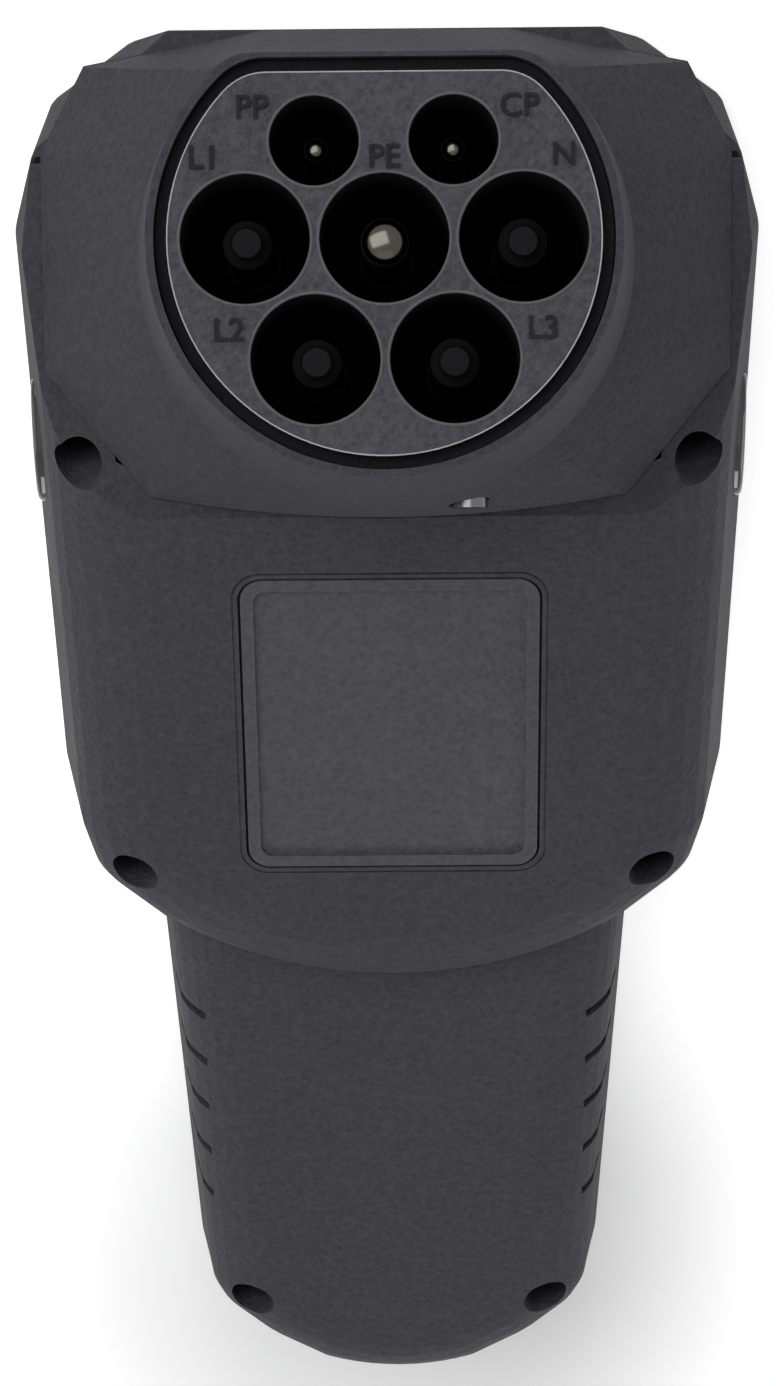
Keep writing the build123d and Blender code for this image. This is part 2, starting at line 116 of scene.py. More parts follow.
def grain_group():
    """Moulded grain: a fine height, a soft mottle and a sparse scuff mask."""
    group = bpy.data.node_groups.new("Moulded Grain", "ShaderNodeTree")
    socket(group, "Vector", "INPUT", "NodeSocketVector")
    socket(group, "Grain Size", "INPUT", value=2600.0)
    socket(group, "Scuff Size", "INPUT", value=60.0)
    socket(group, "Height", "OUTPUT")
    socket(group, "Mottle", "OUTPUT")
    socket(group, "Scuff", "OUTPUT")
    nodes, links = group.nodes, group.links
    inp = nodes.new("NodeGroupInput")
    out = nodes.new("NodeGroupOutput")
    fine = nodes.new("ShaderNodeTexNoise")
    fine.inputs["Detail"].default_value = 3.0
    fine.inputs["Roughness"].default_value = 0.65
    cells = nodes.new("ShaderNodeTexVoronoi")
    cells.feature = "SMOOTH_F1"
    add = nodes.new("ShaderNodeMath")
    add.operation = "MULTIPLY_ADD"
    add.inputs[1].default_value = 0.6
    links.new(inp.outputs["Vector"], fine.inputs["Vector"])
    links.new(inp.outputs["Vector"], cells.inputs["Vector"])
    links.new(inp.outputs["Grain Size"], fine.inputs["Scale"])
    half = nodes.new("ShaderNodeMath")
    half.operation = "MULTIPLY"
    half.inputs[1].default_value = 0.55
    links.new(inp.outputs["Grain Size"], half.inputs[0])
    links.new(half.outputs[0], cells.inputs["Scale"])
    links.new(cells.outputs["Distance"], add.inputs[0])
    links.new(fine.outputs["Fac"], add.inputs[2])
    links.new(add.outputs[0], out.inputs["Height"])
    soft = nodes.new("ShaderNodeTexNoise")
    soft.inputs["Detail"].default_value = 5.0
    links.new(inp.outputs["Vector"], soft.inputs["Vector"])
    links.new(inp.outputs["Scuff Size"], soft.inputs["Scale"])
    links.new(soft.outputs["Fac"], out.inputs["Mottle"])
    scuff = nodes.new("ShaderNodeTexNoise")
    scuff.inputs["Detail"].default_value = 9.0
    scuff.inputs["Roughness"].default_value = 0.75
    scuff.inputs["Distortion"].default_value = 0.8
    ramp = nodes.new("ShaderNodeValToRGB")
    ramp.color_ramp.elements[0].position = 0.60
    ramp.color_ramp.elements[1].position = 0.72
    links.new(inp.outputs["Vector"], scuff.inputs["Vector"])
    links.new(inp.outputs["Scuff Size"], scuff.inputs["Scale"])
    links.new(scuff.outputs["Fac"], ramp.inputs["Fac"])
    links.new(ramp.outputs["Color"], out.inputs["Scuff"])
    return group


def edge_group():
    """Edge wear: 1 on convex edges, broken up by noise."""
    group = bpy.data.node_groups.new("Edge Wear", "ShaderNodeTree")
    socket(group, "Vector", "INPUT", "NodeSocketVector")
    socket(group, "Width", "INPUT", value=0.0006)
    socket(group, "Wear", "OUTPUT")
    nodes, links = group.nodes, group.links
    inp = nodes.new("NodeGroupInput")
    out = nodes.new("NodeGroupOutput")
    bevel = nodes.new("ShaderNodeBevel")
    bevel.samples = 4
    geo = nodes.new("ShaderNodeNewGeometry")
    dot = nodes.new("ShaderNodeVectorMath")
    dot.operation = "DOT_PRODUCT"
    step = nodes.new("ShaderNodeMapRange")
    step.inputs["From Min"].default_value = 0.99
    step.inputs["From Max"].default_value = 0.80
    noise = nodes.new("ShaderNodeTexNoise")
    noise.inputs["Scale"].default_value = 320.0
    noise.inputs["Detail"].default_value = 4.0
    mask = nodes.new("ShaderNodeMapRange")
    mask.inputs["From Min"].default_value = 0.35
    mask.inputs["From Max"].default_value = 0.65
    mult = nodes.new("ShaderNodeMath")
    mult.operation = "MULTIPLY"
    links.new(inp.outputs["Width"], bevel.inputs["Radius"])
    links.new(bevel.outputs["Normal"], dot.inputs[0])
    links.new(geo.outputs["Normal"], dot.inputs[1])
    links.new(dot.outputs["Value"], step.inputs["Value"])
    links.new(inp.outputs["Vector"], noise.inputs["Vector"])
    links.new(noise.outputs["Fac"], mask.inputs["Value"])
    links.new(step.outputs["Result"], mult.inputs[0])
    links.new(mask.outputs["Result"], mult.inputs[1])
    links.new(mult.outputs[0], out.inputs["Wear"])
    return group


GROUPS = {}


def shared(name):
    if name not in GROUPS:
        GROUPS[name] = {"grain": grain_group, "edge": edge_group}[name]()
    return GROUPS[name]


def moulded(name, colour, rough=0.55, grain=2600.0, bump=0.25, wear=0.35, mottle=0.18, metal=0.0,
            wear_colour=None, width=0.0005, rough_swing=0.12, depth=0.00006, spec=0.05):
    """One finish: base colour with mottle, edge wear and a fine bump."""
    mat = bpy.data.materials.new(name)
    mat.use_nodes = True
    nodes, links = mat.node_tree.nodes, mat.node_tree.links
    bsdf = nodes["Principled BSDF"]
    bsdf.inputs["Metallic"].default_value = metal
    bsdf.inputs["Specular IOR Level"].default_value = 0.5 if metal else spec
    coord = nodes.new("ShaderNodeTexCoord")
    gr = nodes.new("ShaderNodeGroup")
    gr.node_tree = shared("grain")
    gr.inputs["Grain Size"].default_value = grain
    links.new(coord.outputs["Object"], gr.inputs["Vector"])
    ed = nodes.new("ShaderNodeGroup")
    ed.node_tree = shared("edge")
    ed.inputs["Width"].default_value = width
    links.new(coord.outputs["Object"], ed.inputs["Vector"])
    dark = nodes.new("ShaderNodeMix")
    dark.data_type = "RGBA"
    dark.inputs["A"].default_value = (*[c * (1 - mottle) for c in colour], 1)
    dark.inputs["B"].default_value = (*[min(c * (1 + mottle), 1) for c in colour], 1)
    speck = nodes.new("ShaderNodeMapRange")
    speck.inputs["From Min"].default_value = 0.45
    speck.inputs["From Max"].default_value = 1.05
    links.new(gr.outputs["Height"], speck.inputs["Value"])
    blend = nodes.new("ShaderNodeMix")
    blend.inputs["Factor"].default_value = 0.65
    links.new(gr.outputs["Mottle"], blend.inputs["A"])
    links.new(speck.outputs["Result"], blend.inputs["B"])
    links.new(blend.outputs["Result"], dark.inputs["Factor"])
    scuffed = nodes.new("ShaderNodeMix")
    scuffed.data_type = "RGBA"
    scuffed.inputs["B"].default_value = (*[min(c * 1.25 + 0.006, 1) for c in colour], 1)
    fade = nodes.new("ShaderNodeMath")
    fade.operation = "MULTIPLY"
    fade.inputs[1].default_value = wear * 0.5
    links.new(gr.outputs["Scuff"], fade.inputs[0])
    links.new(fade.outputs[0], scuffed.inputs["Factor"])
    links.new(dark.outputs["Result"], scuffed.inputs["A"])
    worn = nodes.new("ShaderNodeMix")
    worn.data_type = "RGBA"
    light = wear_colour or [min(c * 1.9 + 0.015, 1) for c in colour]
    worn.inputs["B"].default_value = (*light, 1)
    amount = nodes.new("ShaderNodeMath")
    amount.operation = "MULTIPLY"
    amount.inputs[1].default_value = wear
    links.new(ed.outputs["Wear"], amount.inputs[0])
    links.new(amount.outputs[0], worn.inputs["Factor"])
    links.new(scuffed.outputs["Result"], worn.inputs["A"])
    links.new(worn.outputs["Result"], bsdf.inputs["Base Color"])
    swing = nodes.new("ShaderNodeMapRange")
    swing.inputs["To Min"].default_value = rough - rough_swing
    swing.inputs["To Max"].default_value = min(rough + rough_swing, 1.0)
    links.new(gr.outputs["Mottle"], swing.inputs["Value"])
    links.new(swing.outputs["Result"], bsdf.inputs["Roughness"])
    bmp = nodes.new("ShaderNodeBump")
    bmp.inputs["Strength"].default_value = bump
    bmp.inputs["Distance"].default_value = depth
    links.new(gr.outputs["Height"], bmp.inputs["Height"])
    links.new(bmp.outputs["Normal"], bsdf.inputs["Normal"])
    return mat


def paint_shade_below(mat, origin, up, depth, colour):
    """Painted shade: darken a finish below a plane, in place of the shade that falls in the wells and on the
    step of the plug insert.
    """
    nodes, links = mat.node_tree.nodes, mat.node_tree.links
    base = nodes["Principled BSDF"].inputs["Base Color"]
    source = base.links[0].from_socket
    coord = nodes.new("ShaderNodeTexCoord")
    rise = nodes.new("ShaderNodeVectorMath")
    rise.operation = "DOT_PRODUCT"
    rise.inputs[1].default_value = up
    links.new(coord.outputs["Object"], rise.inputs[0])
    level = origin.dot(up)
    under = nodes.new("ShaderNodeMapRange")
    under.inputs["From Min"].default_value = level - depth * 0.4
    under.inputs["From Max"].default_value = level - depth
    links.new(rise.outputs["Value"], under.inputs["Value"])
    mix = nodes.new("ShaderNodeMix")
    mix.data_type = "RGBA"
    mix.inputs["B"].default_value = (*colour, 1)
    links.new(under.outputs["Result"], mix.inputs["Factor"])
    links.new(source, mix.inputs["A"])
    links.new(mix.outputs["Result"], base)


def clear_glass(name, tint, rough):
    mat = moulded(name, tint, rough=rough, bump=0.03, wear=0.1, mottle=0.05, rough_swing=0.02)
    bsdf = mat.node_tree.nodes["Principled BSDF"]
    bsdf.inputs["Coat Weight"].default_value = 1.0
    bsdf.inputs["Coat Roughness"].default_value = 0.03
    return mat


def dress(node, mat):
    obj = node_object(node)
    if not obj.material_slots:
        obj.data.materials.append(mat)
    for place in obj.material_slots:
        place.material = mat
    return obj


# ------------------------------------------------------------------- sizes

class TesterFinish(bpy.types.PropertyGroup):
    shell_tone: bpy.props.FloatVectorProperty(
        name="Shell Colour", description="Colour of the two shells and the neck",
        subtype="COLOR", size=3, default=(0.056, 0.054, 0.063), min=0.0, max=1.0)
    cover_tone: bpy.props.FloatVectorProperty(
        name="Cover Colour", description="Colour of the battery cover",
        subtype="COLOR", size=3, default=(0.084, 0.082, 0.093), min=0.0, max=1.0)
    insert_tone: bpy.props.FloatVectorProperty(
        name="Insert Colour", description="Colour of the contact insert",
        subtype="COLOR", size=3, default=(0.080, 0.078, 0.088), min=0.0, max=1.0)
    grain: bpy.props.FloatProperty(
        name="Grain", description="Fineness of the moulded grain, in cells per metre",
        default=1900.0, min=200.0)
    wear: bpy.props.FloatProperty(
        name="Edge Wear", description="How far the edges have lightened", subtype="FACTOR",
        default=0.35, min=0.0, max=1.0)


class TesterMarks(bpy.types.PropertyGroup):
    height: bpy.props.FloatProperty(
        name="Mark Height", description="Height of the raised contact marks", subtype="DISTANCE",
        default=0.0029, min=0.001)
    relief: bpy.props.FloatProperty(
        name="Relief", description="How far the marks stand out of the face", subtype="DISTANCE",
        default=0.0005, min=0.00005)
    weight: bpy.props.FloatProperty(
        name="Stroke", description="Extra width of each stroke", subtype="DISTANCE",
        default=0.0001, min=0.0)


class TesterMouths(bpy.types.PropertyGroup):
    power: bpy.props.FloatProperty(
        name="Power Mouth", description="Radius of a power contact's well", subtype="DISTANCE",
        default=0.008, min=0.001)
    pilot: bpy.props.FloatProperty(
        name="Pilot Mouth", description="Radius of a pilot contact's well", subtype="DISTANCE",
        default=0.00555, min=0.001)
    edge: bpy.props.FloatProperty(
        name="Mouth Edge", description="Radius of the rounded edge of a well", subtype="DISTANCE",
        default=0.0002, min=0.00005)


class TesterGrip(bpy.types.PropertyGroup):
    first: bpy.props.FloatProperty(
        name="First Groove", description="Place of the groove nearest the body", subtype="DISTANCE",
        default=-0.04190955)
    pitch: bpy.props.FloatProperty(
        name="Groove Pitch", description="From one groove to the next", subtype="DISTANCE", default=0.0089)
    count: bpy.props.IntProperty(name="Grooves", description="Grooves on each side", default=5, min=1)
    width: bpy.props.FloatProperty(
        name="Groove Width", description="Width of a groove", subtype="DISTANCE", default=0.0015)
    inner: bpy.props.FloatProperty(
        name="Groove Start", description="Where the cut starts, from the middle", subtype="DISTANCE",
        default=0.0196)
    outer: bpy.props.FloatProperty(
        name="Flush Width", description="How far out the back of the grip stays flush", subtype="DISTANCE",
        default=0.0277)


class TesterStage(bpy.types.PropertyGroup):
    distance: bpy.props.FloatProperty(
        name="Camera Distance", description="From the plug face to the camera", subtype="DISTANCE",
        default=0.500, min=0.2)
    fall: bpy.props.FloatProperty(
        name="Camera Fall", description="How far the camera stands towards the handle", subtype="DISTANCE",
        default=0.0554)
    yaw: bpy.props.FloatProperty(
        name="Camera Yaw", description="Turn of the camera about the plug's upright", subtype="ANGLE",
        default=0.0075)
    roll: bpy.props.FloatProperty(
        name="Camera Roll", description="Turn of the camera about its own axis", subtype="ANGLE",
        default=0.0078)
    lens: bpy.props.FloatProperty(
        name="Lens", description="Focal length in millimetres", default=106.75, min=20.0)
    light: bpy.props.FloatProperty(
        name="Light Level", description="Strength of the soft lamps", default=1.0, min=0.0)


# --------------------------------------------------------------- operators

class TESTER_OT_shells(bpy.types.Operator):
    """Finish the shells, the neck, the cover and the seals"""
    bl_idname = "tester.shells"
    bl_label = "Finish Shells"

    def execute(self, context):
        fin = context.scene.tester_finish
        shell = moulded("moulded grey shell", tuple(fin.shell_tone), rough=0.58, grain=fin.grain,
                        bump=0.8, wear=fin.wear, mottle=0.34, depth=0.0004)
        for node in ("rear_shell", "front_shell", "connector_housing"):
            dress(node, shell)
        cover = moulded("moulded grey cover", tuple(fin.cover_tone), rough=0.58, grain=fin.grain,
                        bump=0.8, wear=fin.wear, mottle=0.3, depth=0.0004)
        dress("battery_cover", cover)
        seal = moulded("black seal rubber", (0.008, 0.008, 0.009), rough=0.75, bump=0.15, wear=0.1)
        for node in ("shell_seal", "neck_seal"):
            dress(node, seal)
        return {"FINISHED"}


class TESTER_OT_insert(bpy.types.Operator):
    """Finish the contact insert, the contacts and their touch guards"""
    bl_idname = "tester.insert"
    bl_label = "Finish Plug Insert"

    def execute(self, context):
        fin = context.scene.tester_finish
        face = moulded("spark textured insert", tuple(fin.insert_tone), rough=0.62, grain=1700.0, bump=0.9,
                       wear=0.4, mottle=0.45, depth=0.0005, width=0.0004)
        # painted shade: the face's finish turns near-black deeper than the face, in place of the shade in the
        # wells
        paint_shade_below(face, FACE, AXIS, 0.00035, (0.012, 0.012, 0.014))
        dress("contact_insert", face)
        # painted shade: the carrier is painted near-black, in place of the shade deep in the wells
        carrier = moulded("carrier plastic", (0.003, 0.003, 0.003), rough=0.8, bump=0.1, wear=0.0,
                          spec=0.02)
        dress("contact_carrier", carrier)
        # the touch guards are black plastic, darkened further as painted shade for the wells they stand in
        guard = moulded("touch guard plastic", (0.004, 0.004, 0.005), rough=0.45, bump=0.1, wear=0.1)
        for name in ("l1", "l2", "l3", "n"):
            dress("guard_" + name, guard)
        # painted shade: the silver contacts are painted as near-black plastic, in place of the shade in the
        # wells
        shank = moulded("contact shank painted shade", (0.008, 0.008, 0.008), rough=0.6, grain=900.0,
                        bump=0.08, wear=0.1, mottle=0.06)
        for name in ("pe", "l1", "l2", "l3", "n", "pp", "cp"):
            dress("contact_" + name, shank)
        return {"FINISHED"}


MARKS = [("PP", -16.1, 15.9), ("CP", 16.5, 15.9), ("PE", 0.0, 9.8), ("L1", -22.0, 9.8),
         ("N", 21.9, 9.9), ("L2", -19.1, -11.2), ("L3", 19.2, -11.2)]


class TESTER_OT_marks(bpy.types.Operator):
    """Raise the contact marks on the plug face"""
    bl_idname = "tester.marks"
    bl_label = "Raise Contact Marks"

    def execute(self, context):
        size = context.scene.tester_marks
        parts = bmesh.new()
        for text, x, s in MARKS:
            curve = bpy.data.curves.new("mark", "FONT")
            curve.body = text
            curve.size = size.height * 1.38
            curve.align_x = "CENTER"
            curve.align_y = "CENTER"
            curve.extrude = size.relief
            curve.offset = size.weight - 0.00006
            curve.resolution_u = 6
            holder = bpy.data.objects.new("mark", curve)
            context.scene.collection.objects.link(holder)
            dg = context.evaluated_depsgraph_get()
            mesh = bpy.data.meshes.new_from_object(holder.evaluated_get(dg))
            mesh.transform(plug_matrix(x / 1000, s / 1000, 0.0))
            parts.from_mesh(mesh)
            bpy.data.objects.remove(holder)
            bpy.data.curves.remove(curve)
            bpy.data.meshes.remove(mesh)
        bmesh.ops.remove_doubles(parts, verts=parts.verts, dist=1e-7)
        bmesh.ops.recalc_face_normals(parts, faces=parts.faces)
        mesh = bpy.data.meshes.new("contact_marks")
        parts.to_mesh(mesh)
        parts.free()
        piece = bpy.data.objects.new("contact_marks", mesh)
        context.scene.collection.objects.link(piece)
        # painted shade: the marks have the face's tone but are painted near-black, in place of the shadow
        # round each raised letter
        tone = tuple(c * 0.22 for c in context.scene.tester_finish.insert_tone)
        mesh.materials.append(moulded("raised mark painted shade", tone, rough=0.5, bump=0.2, wear=0.5))
        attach(piece, "housing")
        return {"FINISHED"}


def ring_tree():
    """Geometry nodes: one rounded ring at each point, turned to the plug face."""
    tree = bpy.data.node_groups.new("Mouth Rings", "GeometryNodeTree")
    face = tree.interface
    face.new_socket(name="Geometry", in_out="INPUT", socket_type="NodeSocketGeometry")
    for name, value in (("Radius", 0.008), ("Edge", 0.0002), ("Tilt", TILT)):
        face.new_socket(name=name, in_out="INPUT", socket_type="NodeSocketFloat").default_value = value
    face.new_socket(name="Steps", in_out="INPUT", socket_type="NodeSocketInt").default_value = 96
    face.new_socket(name="Finish", in_out="INPUT", socket_type="NodeSocketMaterial")
    face.new_socket(name="Geometry", in_out="OUTPUT", socket_type="NodeSocketGeometry")
    nodes, links = tree.nodes, tree.links
    inp = nodes.new("NodeGroupInput")
    out = nodes.new("NodeGroupOutput")
    path = nodes.new("GeometryNodeCurvePrimitiveCircle")
    links.new(inp.outputs["Steps"], path.inputs["Resolution"])
    links.new(inp.outputs["Radius"], path.inputs["Radius"])
    section = nodes.new("GeometryNodeCurvePrimitiveCircle")
    section.inputs["Resolution"].default_value = 10
    links.new(inp.outputs["Edge"], section.inputs["Radius"])
    sweep = nodes.new("GeometryNodeCurveToMesh")
    links.new(path.outputs["Curve"], sweep.inputs["Curve"])
    links.new(section.outputs["Curve"], sweep.inputs["Profile Curve"])
    turn = nodes.new("ShaderNodeCombineXYZ")
    minus = nodes.new("ShaderNodeMath")
    minus.operation = "MULTIPLY"
    minus.inputs[1].default_value = -1.0
    links.new(inp.outputs["Tilt"], minus.inputs[0])
    links.new(minus.outputs[0], turn.inputs["X"])
    place = nodes.new("GeometryNodeInstanceOnPoints")
    links.new(inp.outputs["Geometry"], place.inputs["Points"])
    links.new(sweep.outputs["Mesh"], place.inputs["Instance"])
    links.new(turn.outputs["Vector"], place.inputs["Rotation"])
    solid = nodes.new("GeometryNodeRealizeInstances")
    links.new(place.outputs["Instances"], solid.inputs["Geometry"])
    finish = nodes.new("GeometryNodeSetMaterial")
    links.new(solid.outputs["Geometry"], finish.inputs["Geometry"])
    links.new(inp.outputs["Finish"], finish.inputs["Material"])
    links.new(finish.outputs["Geometry"], out.inputs["Geometry"])
    return tree


def grown(tree, points, edges, **values):
    """Mesh that a geometry node tree makes from a set of points and edges."""
    seed = bpy.data.meshes.new("places")
    seed.from_pydata(points, edges, [])
    holder = bpy.data.objects.new("places", seed)
    bpy.context.scene.collection.objects.link(holder)
    mod = holder.modifiers.new("grow", "NODES")
    mod.node_group = tree
    for item in tree.interface.items_tree:
        if item.item_type == "SOCKET" and item.in_out == "INPUT" and item.name in values:
            mod[item.identifier] = values[item.name]
    dg = bpy.context.evaluated_depsgraph_get()
    mesh = bpy.data.meshes.new_from_object(holder.evaluated_get(dg))
    holder.modifiers.remove(mod)
    bpy.data.objects.remove(holder)
    return mesh


def piece_from(name, meshes, mat, body):
    """One object from several meshes, faces outward, riding on a body."""
    work = bmesh.new()
    for mesh in meshes:
        work.from_mesh(mesh)
    bmesh.ops.remove_doubles(work, verts=work.verts, dist=1e-8)
    bmesh.ops.recalc_face_normals(work, faces=work.faces)
    for f in work.faces:
        f.smooth = True
        f.material_index = 0
    mesh = bpy.data.meshes.new(name)
    work.to_mesh(mesh)
    work.free()
    mesh.materials.append(mat)
    mesh.set_sharp_from_angle(angle=math.radians(35.0))
    piece = bpy.data.objects.new(name, mesh)
    bpy.context.scene.collection.objects.link(piece)
    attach(piece, body)
    return piece


POWER_PLACES = [(0.0, 0.0), (-17.0, 0.0), (17.0, 0.0), (-8.5, -14.722), (8.5, -14.722)]
PILOT_PLACES = [(-8.5, 11.9), (8.5, 11.9)]


def line_tree():
    """Geometry nodes: a fine rounded line along a closed loop of edges."""
    tree = bpy.data.node_groups.new("Edge Line", "GeometryNodeTree")
    face = tree.interface
    face.new_socket(name="Geometry", in_out="INPUT", socket_type="NodeSocketGeometry")
    face.new_socket(name="Edge", in_out="INPUT", socket_type="NodeSocketFloat").default_value = 0.0001
    face.new_socket(name="Finish", in_out="INPUT", socket_type="NodeSocketMaterial")
    face.new_socket(name="Geometry", in_out="OUTPUT", socket_type="NodeSocketGeometry")
    nodes, links = tree.nodes, tree.links
    inp = nodes.new("NodeGroupInput")
    out = nodes.new("NodeGroupOutput")
    path = nodes.new("GeometryNodeMeshToCurve")
    links.new(inp.outputs["Geometry"], path.inputs["Mesh"])
    section = nodes.new("GeometryNodeCurvePrimitiveCircle")
    section.inputs["Resolution"].default_value = 8
    links.new(inp.outputs["Edge"], section.inputs["Radius"])
    sweep = nodes.new("GeometryNodeCurveToMesh")
    links.new(path.outputs["Curve"], sweep.inputs["Curve"])
    links.new(section.outputs["Curve"], sweep.inputs["Profile Curve"])
    solid = nodes.new("GeometryNodeRealizeInstances")
    links.new(sweep.outputs["Mesh"], solid.inputs["Geometry"])
    finish = nodes.new("GeometryNodeSetMaterial")
    links.new(solid.outputs["Geometry"], finish.inputs["Geometry"])
    links.new(inp.outputs["Finish"], finish.inputs["Material"])
    links.new(finish.outputs["Geometry"], out.inputs["Geometry"])
    return tree


def face_outline():
    """The outer edge of the plug insert's face, in order round it."""
    found = {}
    for vert in node_object("contact_insert").data.vertices:
        off = vert.co - FACE
        x, s, out = off.dot(SIDE), off.dot(RISE), off.dot(AXIS)
        if abs(out) < FACE_SLACK and math.hypot(x, s) > FACE_EDGE_MIN and clear_of_wells(x, s):
            found[(round(x, 6), round(s, 6))] = math.atan2(s, x)
    return [on_plug(x, s) for x, s in sorted(found, key=found.get)]


def clear_of_wells(x, s):
    """True where a point of the face stands clear of every well."""
    for places, reach in ((POWER_PLACES, 0.0084), (PILOT_PLACES, 0.0059)):
        for a, b in places:
            if math.hypot(x - a / 1000, s - b / 1000) < reach:
                return False
    return True


class TESTER_OT_edge(bpy.types.Operator):
    """Draw a thin light line round the plug insert's edge: a painted highlight for the light the edge catches
    """
    bl_idname = "tester.edge"
    bl_label = "Paint Insert Edge Highlight"

    def execute(self, context):
        # painted highlight: light grey, far lighter than the insert, in place of the light caught along its
        # edge
        mat = moulded("painted highlight insert edge", (0.42, 0.41, 0.43), rough=0.35, bump=0.1, wear=0.2)
        points = face_outline()
        if len(points) < 12:
            raise RuntimeError("the outline of the plug insert was not found")
        edges = [(i, (i + 1) % len(points)) for i in range(len(points))]
        line = grown(line_tree(), points, edges, Edge=EDGE_LINE_R, Finish=mat)
        piece_from("insert_edge", [line], mat, "housing")
        return {"FINISHED"}


class TESTER_OT_tips(bpy.types.Operator):
    """Dome the tips of the bare pins; the plating is painted dark as a painted shade of the wells, and the
    lamps give the glints
    """
    bl_idname = "tester.tips"
    bl_label = "Dome Pin Tips"

    def execute(self, context):
        # painted shade: silver plating given a near-black colour in place of the shade in the wells
        bright = moulded("silver plated tip", (0.07, 0.065, 0.055), rough=0.16, grain=900.0,
                         bump=0.08, wear=0.1, mottle=0.06, metal=1.0,
                         wear_colour=(0.30, 0.26, 0.18), rough_swing=0.05)
        domes = bmesh.new()
        for name, radius in (("pe", 0.0028), ("pp", 0.0013), ("cp", 0.0013)):
            tip = max(node_object("contact_" + name).data.vertices, key=lambda v: v.co.dot(AXIS)).co
            level = (tip - FACE).dot(AXIS)
            x, s = {"pe": (0.0, 0.0), "pp": PILOT_PLACES[0], "cp": PILOT_PLACES[1]}[name]
            steps = DOME_STEPS
            rows = []
            for k in range(DOME_ROWS):
                up = k / DOME_ROWS * math.pi / 2
                ring = [domes.verts.new(on_plug(x / 1000 + radius * math.cos(up) * math.cos(a),
                                                s / 1000 + radius * math.cos(up) * math.sin(a),
                                                level - DOME_SINK + DOME_RISE * radius * math.sin(up)))
                        for a in (2 * math.pi * i / steps for i in range(steps))]
                rows.append(ring)
            for low, high in zip(rows, rows[1:]):
                for i in range(steps):
                    j = (i + 1) % steps
                    domes.faces.new((low[i], low[j], high[j], high[i]))
            top = domes.verts.new(on_plug(x / 1000, s / 1000, level - DOME_SINK + DOME_RISE * radius))
            for i in range(steps):
                domes.faces.new((rows[-1][i], rows[-1][(i + 1) % steps], top))
            domes.faces.new(tuple(reversed(rows[0])))
        mesh = bpy.data.meshes.new("domes")
        domes.to_mesh(mesh)
        domes.free()
        piece_from("pin_tips", [mesh], bright, "housing")
        return {"FINISHED"}


class TESTER_OT_mouths(bpy.types.Operator):
    """Round the mouths of the contact wells"""
    bl_idname = "tester.mouths"
    bl_label = "Round Well Mouths"

    def execute(self, context):
        size = context.scene.tester_mouths
        tone = tuple(c * 1.3 for c in context.scene.tester_finish.insert_tone)
        mat = moulded("well mouth", tone, rough=0.4, bump=0.1, wear=0.4)
        tree = ring_tree()
        rings = []
        for places, radius in ((POWER_PLACES, size.power), (PILOT_PLACES, size.pilot)):
            points = [tuple(on_plug(x / 1000, s / 1000, -size.edge * 0.4)) for x, s in places]
            rings.append(grown(tree, points, [], Radius=radius + size.edge * 0.6, Edge=size.edge, Tilt=TILT,
                               Steps=RING_STEPS, Finish=mat))
        piece_from("well_mouths", rings, mat, "housing")
        return {"FINISHED"}


class TESTER_OT_grip(bpy.types.Operator):
    """Keep the back of the grip flush where the side grooves run in too far"""
    bl_idname = "tester.grip"
    bl_label = "Flush Grip Back"

    def execute(self, context):
        size = context.scene.tester_grip
        work = bmesh.new()
        work.from_mesh(node_object("rear_shell").data)
        skin = BVHTree.FromBMesh(work)
        down = Vector((0.0, 0.0, -1.0))
        deep = Vector((0.0, 0.0, -STRIP_DEPTH))
        strips = bmesh.new()
        for i in range(size.count):
            for side in (-1, 1):
                rows = []
                for k in range(STRIP_STEPS + 1):
                    x = side * (size.inner + (size.outer - size.inner) * k / STRIP_STEPS)
                    pair = []
                    for edge in (-1, 1):
                        y = size.first - i * size.pitch + edge * (size.width / 2 + STRIP_LAP)
                        hit = skin.ray_cast(Vector((x, y, ABOVE_ALL)), down)[0]
                        pair.append(hit)
                    places = pair + [p + deep for p in pair]
                    rows.append([strips.verts.new(p) for p in places])
                for a, b in zip(rows, rows[1:]):
                    for m, n in ((0, 1), (1, 3), (3, 2), (2, 0)):
                        strips.faces.new((a[m], a[n], b[n], b[m]))
                for end in (rows[0], rows[-1]):
                    strips.faces.new((end[0], end[1], end[3], end[2]))
        work.free()
        mesh = bpy.data.meshes.new("strips")
        strips.to_mesh(mesh)
        strips.free()
        fin = context.scene.tester_finish
        mat = moulded("flush grip back", tuple(fin.shell_tone),
                      rough=0.58, grain=fin.grain, bump=0.8, wear=0.0,
                      mottle=0.34, depth=0.0004)
        piece_from("grip_flush", [mesh], mat, "housing")
        return {"FINISHED"}


class TESTER_OT_hardware(bpy.types.Operator):
    """Finish the screws, the side lenses and the keys"""
    bl_idname = "tester.hardware"
    bl_label = "Finish Hardware"

    def execute(self, context):
        steel = moulded("blackened screw steel", (0.16, 0.16, 0.17), rough=0.32, grain=900.0,
                        bump=0.15, wear=0.6, metal=1.0, wear_colour=(0.55, 0.55, 0.57))
        for i in range(1, 7):
            dress("housing_screw_%d" % i, steel)
        bright = moulded("bright bolt steel", (0.14, 0.14, 0.15), rough=0.25, grain=900.0, bump=0.1, wear=0.3,
                         metal=1.0, mottle=0.08)
        dress("insert_bolt", bright)
        lens = clear_glass("side lens", (0.006, 0.006, 0.008), 0.08)
        dress("side_lens_left", lens)
        dress("side_lens_right", lens)
        rubber = moulded("key rubber", (0.16, 0.16, 0.17), rough=0.6, bump=0.2, wear=0.2)
        for i in range(1, 5):
            dress("key_%d" % i, rubber)
        return {"FINISHED"}


